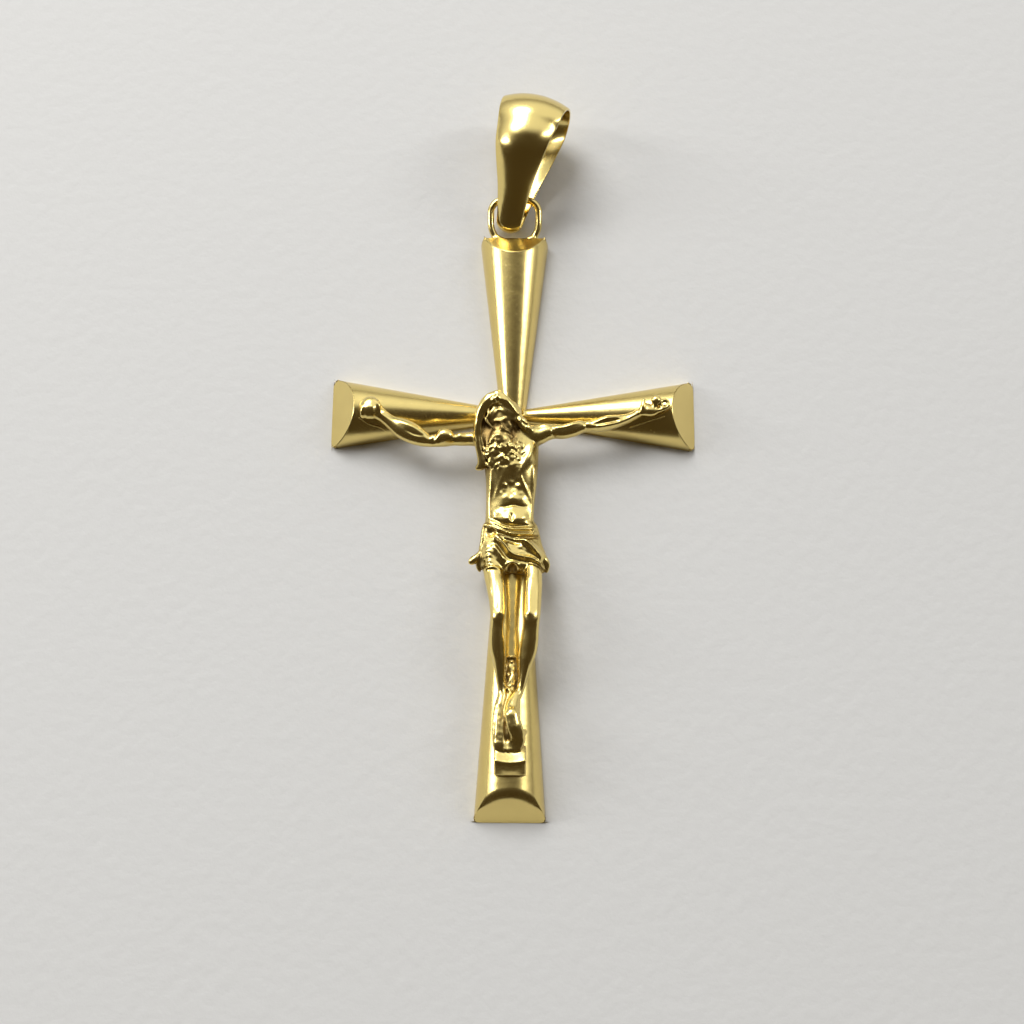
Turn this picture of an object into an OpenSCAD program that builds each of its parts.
// Crucifix pendant: a cross of four flared half-round beams with a cast figure, and the bail it hangs from.
// Millimetres. The crossing of the beams is at the origin, on the flat back.
// +Y runs up to the bail, +Z out of the front.

/* [Cross] */
// Length of the upright above the crossing
top_len = 10.1; // [9.5:0.1:13]
// Length of the upright below the crossing
bottom_len = 21.5; // [20:0.5:25]
// Length of each side beam from the crossing to its end
arm_len = 9.85; // [8.8:0.05:12]
// Width of the top beam at its end
top_end_w = 3.8; // [3.4:0.1:4.6]
// Width of the bottom beam at its end
bottom_end_w = 3.66; // [3:0.02:4.6]
// Width of a side beam at its end
arm_end_w = 3.9; // [3.2:0.1:4.6]
// Width of the top beam at the crossing
top_mid_w = 1.34; // [1:0.02:1.8]
// Width of the bottom beam at the crossing
bottom_mid_w = 0.72; // [0.6:0.02:1.4]
// Width of a side beam at the crossing
arm_mid_w = 0.56; // [0.5:0.02:1.2]
// Length of the sloped facet on the top end
top_facet = 1.23; // [0.8:0.01:1.8]
// Height of the upright wall under that facet, where the loop comes out
top_wall = 0.9; // [0.84:0.02:1.1]
// Length of the sloped facet on the other three ends
end_facet = 1.4; // [0.8:0.05:2]

/* [Loop] */
// Width between the middles of the loop's two sides
loop_w = 2.66; // [2.6:0.02:2.9]
// Height of the loop's top bar above the end of the beam, to the middle of the wire
loop_rise = 2.2; // [2.1:0.02:2.5]
// Thickness of the loop's wire
loop_wire = 0.38; // [0.3:0.02:0.4]
// Height of the wire above the flat back where it comes out of the beam
loop_foot = 0.6; // [0.5:0.02:0.66]
// Angle that the loop leans up from the flat back
loop_lean = 11; // [9:1:13]

/* [Bail] */
// Length of the bail
bail_len = 7.7; // [7:0.1:9]
// Width of the bail's strap at the top
bail_top_w = 3.6; // [3:0.1:4.2]
// Width of the bail's strap at its closed tip
bail_tip_w = 1.3; // [1:0.02:1.3]
// Depth of the bail at the top, from front to back
bail_top_d = 4.3; // [3.8:0.1:4.6]
// Depth of the bail at its closed tip
bail_tip_d = 1.2; // [1.18:0.02:1.3]
// Thickness of the strap along its middle
bail_wall = 0.3; // [0.24:0.01:0.32]
// How far the strap's middle stands out beyond its edges, at the top
bail_crown = 0.3; // [0.1:0.02:0.4]
// Gap between the lying bail's tip and the end of the beam
bail_gap = 0.35; // [0.31:0.02:0.49]
// Angle that the lying bail is turned aside
bail_yaw = 13; // [0:1:14]
// Angle that the lying bail leans on one edge
bail_roll = 10; // [0:1:12]

/* [Figure] */
// Height of the figure from the crown to the toes
fig_len = 18.8; // [17.5:0.1:19.5]
// Height of the crown above the crossing
fig_rise = 0.75; // [0.4:0.05:1.2]
// Width of the chest
chest_w = 2.8; // [2.4:0.1:3.2]
// Width over the cloth at the hips
hip_w = 3.8; // [3.3:0.1:4.4]
// Height of the figure's highest point above the cross's back
fig_depth = 3.3; // [3:0.1:3.8]
// Reach of each arm from the middle to the palm
arm_reach = 7.7; // [6.8:0.1:8.3]
// Thickness of an arm
arm_w = 0.9; // [0.7:0.05:1.05]
// Thickness of a thigh
thigh_w = 1.06; // [0.8:0.02:1.2]
// Length of the head from the crown to the chin
head_len = 2.5; // [2.2:0.1:2.8]
// Width of the footrest
footrest_w = 1.7; // [1.4:0.1:2.2]

/* [Hidden] */

gold = "goldenrod";
cone_fn = 56;
// How far a beam's cone runs past its end, before the slope cuts it, as a share of its length
cone_over = 0.2;
// The figure's back stays this far above the flat back of the cross
back_gap = 0.3;
wire_sides = 10;

function unit(v) = v / norm(v);
function mix(a, b, t) = a + (b - a) * t;

// Radius of a side beam, and of the lower beam, at a distance from the crossing
function side_r(x) = mix(arm_mid_w, arm_end_w, abs(x) / arm_len) / 2;
function down_r(y) = mix(bottom_mid_w, bottom_end_w, abs(y) / bottom_len) / 2;

// The figure's own measures: s runs from 0 at the crown to 1 at the toes
function fig_y(s) = fig_rise - s * fig_len;

// Distance from point p to the segment between a and b, in the plane
function seg_dist(p, a, b) =
    let(d = b - a, len2 = d * d, t = len2 > 0 ? max(0, min(1, (p - a) * d / len2)) : 0)
    norm(p - a - d * t);

// Relief at point p: a soft ridge or groove between two points for each row of
// [x1, y1, x2, y2, half width, height]
function relief(p, rows) =
    len(rows) == 0 ? 0 : [for (r = rows) r[5] * exp(-pow(seg_dist(p, [r[0], r[1]], [r[2], r[3]]) / r[4], 2))]
        * [for (r = rows) 1];

// Mean of a list of points
function middle(ring) = [for (p = ring) 1] * ring / len(ring);

// Faces of a closed skin over n rings of m points each, with a point in the middle of each end
function skin_faces(n, m) = concat(
    [for (j = [0:m - 1]) [n * m, (j + 1) % m, j]],
    [for (i = [0:n - 2]) for (j = [0:m - 1]) [i * m + j, (i + 1) * m + (j + 1) % m, (i + 1) * m + j]],
    [for (i = [0:n - 2]) for (j = [0:m - 1]) [i * m + j, i * m + (j + 1) % m, (i + 1) * m + (j + 1) % m]],
    [for (j = [0:m - 1]) [n * m + 1, (n - 1) * m + j, (n - 1) * m + (j + 1) % m]]);

module skin(rings) {
    polyhedron(
        points = concat([for (r = rings) each r], [middle(rings[0]), middle(rings[len(rings) - 1])]),
        faces = skin_faces(len(rings), len(rings[0])), convexity = 6);
}

// Softened copy of a table: rows between the given ones, on a Catmull-Rom curve
function spline(rows, steps) = [
    for (i = [0:len(rows) - 2]) for (k = [0:steps - 1])
        let(t = k / steps, last = len(rows) - 1,
            a = rows[max(0, i - 1)], b = rows[i], c = rows[i + 1], d = rows[min(last, i + 2)])
        0.5 * (2 * b + (c - a) * t + (2 * a - 5 * b + 4 * c - d) * pow(t, 2)
            + (3 * b - a - 3 * c + d) * pow(t, 3)),
    rows[len(rows) - 1]];

// One ring across a path: c is its middle, dir the path's direction, w and d its half width and half depth
function limb_ring(c, dir, w, d, sides) =
    let(n = unit(cross(dir, [0, 0, 1])), b = cross(n, unit(dir)))
    [for (j = [0:sides - 1]) c + n * w * cos(360 * j / sides) + b * d * sin(360 * j / sides)];

// A limb along rows of [x, y, z, half width, half depth]
module limb(rows, sides = 12, steps = 3) {
    p = spline(rows, steps);
    last = len(p) - 1;
    skin([for (i = [0:last])
        let(c = p[i], dir = p[min(last, i + 1)] - p[max(0, i - 1)])
        limb_ring([c[0], c[1], c[2]], [dir[0], dir[1], dir[2]], c[3], c[4], sides)]);
}

// Three quarters of a ring's points lie on the front half, where the relief is
function body_angle(j, sides) =
    let(front = round(0.75 * sides)) j < front ? 180 - 180 * j / front : -180 * (j - front) / (sides - front);

// A body whose rings lie across Y, from rows of [y, x, z, half width, half depth], with relief on its front
module body_form(rows, marks, sides, steps) {
    p = spline(rows, steps);
    skin([for (r = p) [for (j = [0:sides - 1])
        let(a = body_angle(j, sides), front = max(0, sin(a)),
            x = r[1] + r[3] * cos(a), z = r[2] + r[4] * sin(a))
        [x, r[0], max(back_gap, z) + front * relief([x, r[0]], marks)]]]);
}

// The cross

// Half of a flared round beam along +Y, cut at its end by a slope that starts at the height of the wall
module beam(length, mid_w, end_w, facet, wall = 0) {
    ridge = mix(mid_w, end_w, 1 - facet / length) / 2;
    intersection() {
        rotate([-90, 0, 0])
            cylinder(h = (1 + cone_over) * length, d1 = mid_w, d2 = mix(mid_w, end_w, 1 + cone_over),
                $fn = cone_fn);
        rotate([90, 0, 90])
            linear_extrude(height = 2 * end_w, center = true)
                polygon(concat([[0, 0], [length, 0]], wall > 0 ? [[length, wall]] : [],
                    [[length - 2 * facet, 2 * ridge - wall], [0, 2 * ridge - wall]]));
    }
}

// The half ball that joins the four beams at the crossing, as wide as the widest of them
hub_w = max(top_mid_w, bottom_mid_w, arm_mid_w);
module cross_beams() {
    beam(top_len, top_mid_w, top_end_w, top_facet, top_wall);
    rotate([0, 0, 180]) beam(bottom_len, bottom_mid_w, bottom_end_w, end_facet);
    for (turn = [90, -90]) rotate([0, 0, turn]) beam(arm_len, arm_mid_w, arm_end_w, end_facet);
    intersection() {
        sphere(d = hub_w, $fn = 48);
        translate([-hub_w / 2, -hub_w / 2, 0]) cube(hub_w);
    }
}

// The loop on the top end

loop_y = top_len + loop_rise;
loop_z = loop_foot + loop_rise * tan(loop_lean);
// Radius of the loop's upper corners, and how far below its top bar it is widest, as shares of its width
loop_corner = 0.263;
loop_belly = 0.477;
// The angle through which the loop's round lower part turns in before it ends inside the beam
loop_root = 65;

// Right half of the loop in its own plane, from its root up to the top bar, which is at height 0
function loop_half() = let(h = loop_w / 2, c = loop_corner * loop_w) concat(
    [for (a = [-loop_root:13:0]) [h * cos(a), h * sin(a) - loop_belly * loop_w]],
    [for (a = [0:15:90]) [h - c + c * cos(a), c * sin(a) - c]]);
function loop_path() = let(half = loop_half(), last = len(half) - 1) concat(
    [for (p = half) [-p.x, p.y]],
    [for (i = [last:-1:0]) half[i]]);

module loop() {
    r = loop_wire / 2;
    path = [for (p = loop_path()) [p.x, loop_y + p.y * cos(loop_lean), loop_z + p.y * sin(loop_lean)]];
    last = len(path) - 1;
    skin([for (i = [0:last])
        limb_ring(path[i], path[min(last, i + 1)] - path[max(0, i - 1)], r, r, wire_sides)]);
}

// The figure

// Sections of the chest and belly: share of the height, then middle x, z, half width and half depth as shares
torso_rows = [
    [0.090, -0.02, 0.42, 0.16, 0.10],
    [0.112, -0.01, 0.42, 0.38, 0.15],
    [0.135, 0.00, 0.41, 0.51, 0.19],
    [0.190, -0.01, 0.40, 0.52, 0.24],
    [0.250, -0.01, 0.39, 0.50, 0.25],
    [0.310, 0.00, 0.37, 0.47, 0.21],
    [0.360, 0.00, 0.36, 0.47, 0.22],
    [0.430, 0.00, 0.35, 0.50, 0.22]];
function torso_table() = [for (r = torso_rows)
    [fig_y(r[0]), r[1] * chest_w, r[2] * fig_depth, r[3] * chest_w, r[4] * fig_depth]];

// Relief of the chest, as relief() takes it: lengths in chest widths, y as a share of the height
torso_marks = [
    [-0.28, 0.175, -0.12, 0.200, 0.16, 0.06],
    [0.28, 0.175, 0.12, 0.200, 0.16, 0.06],
    [-0.04, 0.240, -0.26, 0.300, 0.10, 0.05],
    [0.04, 0.240, 0.26, 0.300, 0.10, 0.05],
    [0.00, 0.275, 0.00, 0.305, 0.13, -0.06],
    [0.00, 0.340, 0.00, 0.355, 0.20, 0.05],
    [-0.38, 0.230, -0.42, 0.330, 0.09, 0.03],
    [0.38, 0.230, 0.42, 0.330, 0.09, 0.03]];
function marks_on(rows, w) = [for (r = rows)
    [r[0] * w, fig_y(r[1]), r[2] * w, fig_y(r[3]), r[4] * w, r[5] * w]];

module torso() {
    body_form(torso_table(), marks_on(torso_marks, chest_w), 28, 4);
}

// Sections of the loincloth, in shares of the height, the hip width and the depth
cloth_rows = [
    [0.360, -0.02, 0.36, 0.40, 0.23],
    [0.368, -0.02, 0.36, 0.435, 0.26],
    [0.400, -0.01, 0.36, 0.435, 0.27],
    [0.430, -0.01, 0.36, 0.455, 0.27],
    [0.460, -0.02, 0.36, 0.485, 0.27],
    [0.488, -0.02, 0.36, 0.500, 0.25],
    [0.500, -0.02, 0.36, 0.47, 0.21]];
cloth_marks = [
    [-0.46, 0.368, -0.24, 0.392, 0.034, 0.05],
    [-0.24, 0.392, 0.06, 0.410, 0.034, 0.06],
    [0.06, 0.410, 0.42, 0.406, 0.034, 0.05],
    [-0.46, 0.382, -0.20, 0.404, 0.022, -0.05],
    [-0.20, 0.404, 0.40, 0.420, 0.020, -0.05],
    [0.14, 0.424, 0.46, 0.482, 0.045, 0.06],
    [-0.22, 0.424, 0.16, 0.470, 0.035, 0.05],
    [0.16, 0.470, 0.44, 0.494, 0.030, 0.05],
    [-0.34, 0.400, -0.38, 0.470, 0.040, -0.04],
    [-0.44, 0.410, -0.46, 0.480, 0.030, 0.04],
    [-0.28, 0.440, -0.14, 0.492, 0.030, 0.04],
    [0.02, 0.440, 0.30, 0.456, 0.040, -0.05],
    [0.00, 0.500, 0.00, 0.520, 0.060, -0.10]];

// The knot on the left hip and its hanging end: x in hip widths, share of the height, z in depths,
// half width in hip widths
knot_rows = [
    [-0.42, 0.462, 0.42, 0.050],
    [-0.50, 0.474, 0.44, 0.085],
    [-0.56, 0.484, 0.42, 0.070],
    [-0.58, 0.492, 0.40, 0.020]];
// The cloth's corner over the right hip, in the same columns
corner_rows = [
    [0.30, 0.440, 0.50, 0.06],
    [0.42, 0.466, 0.48, 0.08],
    [0.49, 0.490, 0.42, 0.06],
    [0.51, 0.502, 0.40, 0.02]];

module loincloth() {
    body_form(
        [for (r = cloth_rows) [fig_y(r[0]), r[1] * hip_w, r[2] * fig_depth, r[3] * hip_w, r[4] * fig_depth]],
        marks_on(cloth_marks, hip_w), 30, 4);
    for (rows = [knot_rows, corner_rows])
        limb([for (r = rows)
            [r[0] * hip_w, fig_y(r[1]), r[2] * fig_depth, r[3] * hip_w, r[3] * hip_w]], 8, 2);
}

// Legs: share of the height, x in hip widths, z in depths, half width and half depth in thighs
leg_rows = [
    [0.440, 0.25, 0.36, 0.50, 0.50],
    [0.500, 0.28, 0.47, 0.53, 0.54],
    [0.560, 0.28, 0.60, 0.47, 0.48],
    [0.620, 0.28, 0.71, 0.40, 0.41],
    [0.655, 0.285, 0.75, 0.40, 0.36],
    [0.700, 0.285, 0.66, 0.38, 0.38],
    [0.750, 0.24, 0.57, 0.34, 0.36],
    [0.810, 0.14, 0.51, 0.25, 0.27],
    [0.860, 0.06, 0.52, 0.22, 0.24]];

// Both legs hang this far to the right, in hip widths
leg_shift = 0.03;
module legs() {
    for (side = [-1, 1])
        limb([for (r = leg_rows)
            [(side * r[1] + leg_shift) * hip_w, fig_y(r[0]), r[2] * fig_depth,
                r[3] * thigh_w, r[4] * thigh_w]], 12, 2);
}

// Feet, one laid over the other: x in footrest widths, share of the height, z in depths,
// half width and half depth in footrest widths
foot_rows = [
    [0.05, 0.850, 0.56, 0.16, 0.16],
    [0.02, 0.885, 0.66, 0.20, 0.18],
    [0.00, 0.925, 0.68, 0.22, 0.17],
    [0.00, 0.965, 0.66, 0.25, 0.14],
    [0.00, 0.995, 0.66, 0.22, 0.10]];
under_foot_rows = [
    [-0.10, 0.850, 0.52, 0.14, 0.16],
    [-0.20, 0.890, 0.54, 0.17, 0.18],
    [-0.26, 0.935, 0.56, 0.19, 0.16],
    [-0.22, 0.985, 0.60, 0.18, 0.11]];

module feet() {
    for (rows = [foot_rows, under_foot_rows])
        limb([for (r = rows)
            [r[0] * footrest_w, fig_y(r[1]), r[2] * fig_depth, r[3] * footrest_w, r[4] * footrest_w]], 10, 2);
    toes();
}

// Five toes along the upper foot: radius and pitch in footrest widths, place in shares of height and depth
toe_r = 0.055;
toe_pitch = 0.095;
toe_place = [0.998, 0.68];
module toes() {
    for (i = [-2:2])
        translate([i * toe_pitch * footrest_w, fig_y(toe_place[0]), toe_place[1] * fig_depth])
            sphere(r = toe_r * footrest_w);
}

// Side view of the block under the feet: [y over the toes in its widths, share of the rise to the sole]
footrest_rows = [
    [0.21, -0.58],
    [0.21, 0.35],
    [-0.03, 0.86],
    [-0.26, 1.09],
    [-0.36, 0.93],
    [-0.65, -0.14],
    [-0.59, -0.58]];
sole_lift = 0.70;
module footrest() {
    toes_y = fig_y(1);
    seat = down_r(toes_y);
    sole = sole_lift * fig_depth;
    rotate([90, 0, 90])
        linear_extrude(height = footrest_w, center = true)
            polygon([for (r = footrest_rows) [toes_y + r[0] * footrest_w, mix(seat, sole, r[1])]]);
}

// Arms: share of the reach, y in shares of the reach, lift over the beam and thickness in shares of the arm
left_arm_rows = [
    [0.10, -0.205, 1.17, 0.60, 0.60],
    [0.22, -0.225, 1.08, 0.60, 0.56],
    [0.36, -0.225, 0.95, 0.52, 0.50],
    [0.46, -0.190, 0.86, 0.54, 0.52],
    [0.54, -0.212, 0.76, 0.46, 0.44],
    [0.60, -0.215, 0.65, 0.50, 0.46],
    [0.70, -0.165, 0.52, 0.56, 0.50],
    [0.80, -0.105, 0.41, 0.46, 0.42],
    [0.88, -0.060, 0.33, 0.34, 0.34],
    [0.94, -0.030, 0.32, 0.50, 0.44]];
right_arm_rows = [
    [0.10, -0.185, 1.17, 0.60, 0.60],
    [0.22, -0.205, 1.10, 0.60, 0.56],
    [0.33, -0.165, 1.00, 0.47, 0.46],
    [0.46, -0.150, 0.88, 0.46, 0.44],
    [0.56, -0.128, 0.77, 0.38, 0.38],
    [0.68, -0.100, 0.63, 0.46, 0.42],
    [0.78, -0.070, 0.48, 0.40, 0.36],
    [0.88, -0.030, 0.33, 0.30, 0.30],
    [0.94, 0.000, 0.32, 0.44, 0.36]];
function arm_point(x, y, lift) = [x * arm_reach, y * arm_reach, side_r(x * arm_reach) + lift * arm_w];

module arm(side, rows) {
    limb([for (r = rows) concat(
        [side * r[0] * arm_reach], [r[1] * arm_reach], [side_r(r[0] * arm_reach) + r[2] * arm_w],
        [r[3] * arm_w, r[4] * arm_w])], 10, 2);
}

// The palm and one finger, in arm widths: [x along it, y, z, half width, half depth]
palm_rows = [
    [-0.90, 0, -0.04, 0.26, 0.24],
    [-0.20, 0, 0.02, 0.46, 0.36],
    [0.15, 0, 0.02, 0.58, 0.40],
    [0.45, 0, 0.04, 0.48, 0.30],
    [0.62, 0, 0.06, 0.14, 0.10]];
function finger_rows(length, curl) = [
    [0.10, 0, 0.06, 0.18, 0.18],
    [0.40, 0, 0.12, 0.18, 0.18],
    [length, 0, curl, 0.16, 0.16],
    [length + 0.12, 0, curl, 0.07, 0.07]];
nail_r = 0.2;
nail_lift = 0.34;
palm_lift = 0.42;

// An open hand: y in shares of the reach, fingers as rows of [angle, length in arm widths]
module hand(side, y, fingers, curl) {
    translate([side * arm_reach, y * arm_reach, side_r(arm_reach) + palm_lift * arm_w]) {
        rotate([0, 0, 90 - 90 * side]) limb(arm_w * palm_rows, 10, 2);
        for (f = fingers) rotate([0, 0, f[0]]) limb(arm_w * finger_rows(f[1], curl), 6, 1);
        translate([0, 0, nail_lift * arm_w]) sphere(r = nail_r * arm_w);
    }
}

left_fingers = [[210, 0.56], [180, 0.62], [150, 0.62], [115, 0.54]];
right_fingers = [[-24, 0.78], [2, 0.90], [28, 0.84], [92, 0.62]];

module arms() {
    arm(-1, left_arm_rows);
    arm(1, right_arm_rows);
    hand(-1, -0.01, left_fingers, 0.26);
    hand(1, 0.03, right_fingers, 0.10);
}

// The head in its own measures: radius 1 across, y up to the crown, z out of the face
head_marks = [
    [0, 0.14, 0, -0.22, 0.11, 0.20],
    [-0.10, -0.24, 0.10, -0.24, 0.09, 0.07],
    [-0.42, 0.22, -0.14, 0.24, 0.09, 0.07],
    [0.42, 0.22, 0.14, 0.24, 0.09, 0.07],
    [-0.34, 0.06, -0.24, 0.06, 0.13, -0.13],
    [0.34, 0.06, 0.24, 0.06, 0.13, -0.13],
    [-0.34, 0.03, -0.24, 0.03, 0.07, 0.06],
    [0.34, 0.03, 0.24, 0.03, 0.07, 0.06],
    [-0.52, -0.14, -0.36, -0.20, 0.16, 0.05],
    [0.52, -0.14, 0.36, -0.20, 0.16, 0.05],
    [-0.20, -0.40, 0.20, -0.40, 0.06, 0.07],
    [-0.16, -0.49, 0.16, -0.49, 0.035, -0.05],
    [-0.12, -0.56, 0.12, -0.56, 0.06, 0.05],
    [0, -0.80, 0, -1.00, 0.24, 0.12]];
head_sides = 20;
head_rings = 14;

module head() {
    half = head_len / 2;
    skin([for (i = [0:head_rings])
        let(lat = mix(84, -84, i / head_rings))
        [for (j = [0:head_sides - 1])
            let(a = -360 * j / head_sides,
                jaw = lat < 0 ? 1 - 0.22 * pow(-sin(lat), 2) : 1,
                x = 0.74 * cos(lat) * cos(a) * jaw, y = sin(lat), z = 0.80 * cos(lat) * sin(a),
                front = max(0, sin(a)))
            half * [x, y, z + front * relief([x, y], head_marks)]]]);
}

// A pointed beard below the chin
beard_rows = [
    [0.00, -0.60, 0.42, 0.44, 0.26],
    [0.00, -0.90, 0.42, 0.44, 0.28],
    [0.00, -1.20, 0.24, 0.36, 0.26],
    [-0.02, -1.50, 0.00, 0.22, 0.20],
    [-0.04, -1.74, -0.22, 0.08, 0.10]];

// Locks of hair that frame the face, in half heads: [x, y, z, half width, half depth]
left_hair_rows = [
    [0.12, 0.98, 0.10, 0.20, 0.16],
    [-0.42, 0.86, 0.30, 0.30, 0.24],
    [-0.76, 0.40, 0.22, 0.26, 0.26],
    [-0.80, -0.20, -0.02, 0.22, 0.26]];
right_hair_rows = [
    [-0.12, 0.98, 0.10, 0.20, 0.16],
    [0.42, 0.86, 0.30, 0.30, 0.24],
    [0.76, 0.40, 0.20, 0.24, 0.26],
    [0.84, -0.20, -0.10, 0.22, 0.26]];

head_tilt = 13;
head_turn = -10;
head_bow = 24;
// Where the middle of the head is: x in chest widths, share of the height, z in depths
head_place = [-0.22, 0.078, 0.70];

module head_frame() {
    translate([head_place[0] * chest_w, fig_y(head_place[1]), head_place[2] * fig_depth])
        rotate([0, 0, head_tilt]) rotate([0, head_turn, 0]) rotate([head_bow, 0, 0]) children();
}

module head_and_beard() {
    half = head_len / 2;
    head_frame() {
        head();
        limb([for (r = beard_rows) r * half], 10, 2);
        for (rows = [left_hair_rows, right_hair_rows]) limb([for (r = rows) r * half], 8, 2);
        crown_band(half);
    }
}

// A band round the brow: its radius and its half thickness, in half heads
band_r = 0.84;
band_wire = 0.13;
module crown_band(half) {
    limb([for (a = [10:20:170])
        half * [band_r * cos(a), 0.42 + 0.1 * sin(a), band_r * sin(a), band_wire, band_wire]], 6, 2);
}

// Long locks from the head to the chest: x in chest widths, share of the height, z in depths,
// half width in chest widths
long_lock_rows = [
    [-0.60, 0.045, 0.68, 0.10],
    [-0.66, 0.085, 0.64, 0.105],
    [-0.62, 0.130, 0.60, 0.10],
    [-0.60, 0.175, 0.56, 0.10],
    [-0.64, 0.205, 0.52, 0.115],
    [-0.68, 0.222, 0.48, 0.04]];
shoulder_lock_rows = [
    [-0.02, 0.030, 0.72, 0.10],
    [0.14, 0.052, 0.68, 0.11],
    [0.28, 0.082, 0.62, 0.11],
    [0.42, 0.108, 0.55, 0.10],
    [0.54, 0.124, 0.50, 0.06]];

module long_locks() {
    for (rows = [long_lock_rows, shoulder_lock_rows])
        limb([for (r = rows)
            [r[0] * chest_w, fig_y(r[1]), r[2] * fig_depth, r[3] * chest_w, r[3] * chest_w]], 8, 2);
}

module figure() {
    torso();
    loincloth();
    legs();
    feet();
    arms();
    head_and_beard();
    long_locks();
}

// The bail

bail_rings = 56;
bail_section = 14;
top_r = bail_top_d / 2;
tip_r = bail_tip_d / 2;
// Middle of the strap: its arcs' radii, and their distance
top_arc = top_r - bail_wall / 2;
tip_arc = tip_r - bail_wall / 2;
arc_gap = bail_len - top_r - tip_r;
// Angle at which the flat stretches meet the arcs
flank = asin((top_arc - tip_arc) / arc_gap);
// Distance from the tip to the loop's top bar, which runs through the bail
pivot_u = loop_rise - bail_gap;
// How the strap widens along its length: 1 is a straight taper
bail_flare = 1.15;

// Path of the strap in the bail's side view, as [along, depth]: up the front flank, over the top,
// down the back flank and round the tip
function bail_path(k) =
    let(q = 4 * k, top = [bail_len - top_r, 0], tip = [tip_r, 0],
        a1 = 90 + flank, turn_top = 180 + 2 * flank, turn_tip = 180 - 2 * flank,
        dir = function(a) [cos(a), sin(a)],
        t1 = top + top_arc * dir(a1), t0 = tip + tip_arc * dir(a1),
        b1 = top + top_arc * dir(-a1), b0 = tip + tip_arc * dir(-a1))
    q < 1 ? mix(t0, t1, q)
    : q < 2 ? top + top_arc * dir(a1 - turn_top * (q - 1))
    : q < 3 ? mix(b1, b0, q - 2)
    : tip + tip_arc * dir(-a1 - turn_tip * (q - 3));

// Half width of the strap at a distance from the tip
function strap_half(u) = mix(bail_tip_w, bail_top_w, pow(max(0, u / bail_len), bail_flare)) / 2;

// One ring of the strap, domed across, thick along its middle and thin at its rounded edges
function strap_ring(k) =
    let(e = 0.001, p = bail_path(k), q = bail_path((k + e) % 1), dir = unit(q - p), out = [-dir.y, dir.x],
        hw = strap_half(p.x), n = bail_section)
    [for (j = [0:n - 1])
        let(a = 360 * j / n, w = hw * cos(a),
            t = bail_wall / 2 * sin(a) - bail_crown * 2 * hw / bail_top_w * pow(cos(a), 2))
        [w, p.x + out.x * t, p.y + out.y * t]];

function bail_points() = [for (i = [0:bail_rings - 1]) each strap_ring(i / bail_rings)];

function turn_z(p, a) = [p.x * cos(a) - p.y * sin(a), p.x * sin(a) + p.y * cos(a), p.z];
function turn_y(p, a) = [p.x * cos(a) + p.z * sin(a), p.y, -p.x * sin(a) + p.z * cos(a)];
// A point of the bail as it leans and turns about the loop's bar, before it is laid down
function leaned(p) = turn_z(turn_y(p - [0, pivot_u, 0], -bail_roll), -bail_yaw);
// The turn about the bar at which the bail's back first touches the surface
lay_angle = max([for (p = bail_points()) let(q = leaned(p)) if (q.y > bail_len / 4)
    asin(-loop_z / norm([q.y, q.z])) - atan2(q.z, q.y)]);

module bail_strap() {
    n = bail_rings;
    m = bail_section;
    polyhedron(
        points = bail_points(),
        faces = concat(
            [for (i = [0:n - 1]) for (j = [0:m - 1])
                [i * m + j, ((i + 1) % n) * m + (j + 1) % m, ((i + 1) % n) * m + j]],
            [for (i = [0:n - 1]) for (j = [0:m - 1])
                [i * m + j, i * m + (j + 1) % m, ((i + 1) % n) * m + (j + 1) % m]]),
        convexity = 6);
}

module crucifix() {
    color(gold) {
        cross_beams();
        loop();
        footrest();
        figure();
    }
}

module bail() {
    color(gold)
        translate([0, loop_y, loop_z]) rotate([lay_angle, 0, 0])
            rotate([0, 0, -bail_yaw]) rotate([0, -bail_roll, 0]) translate([0, -pivot_u, 0])
                bail_strap();
}

crucifix();
bail();
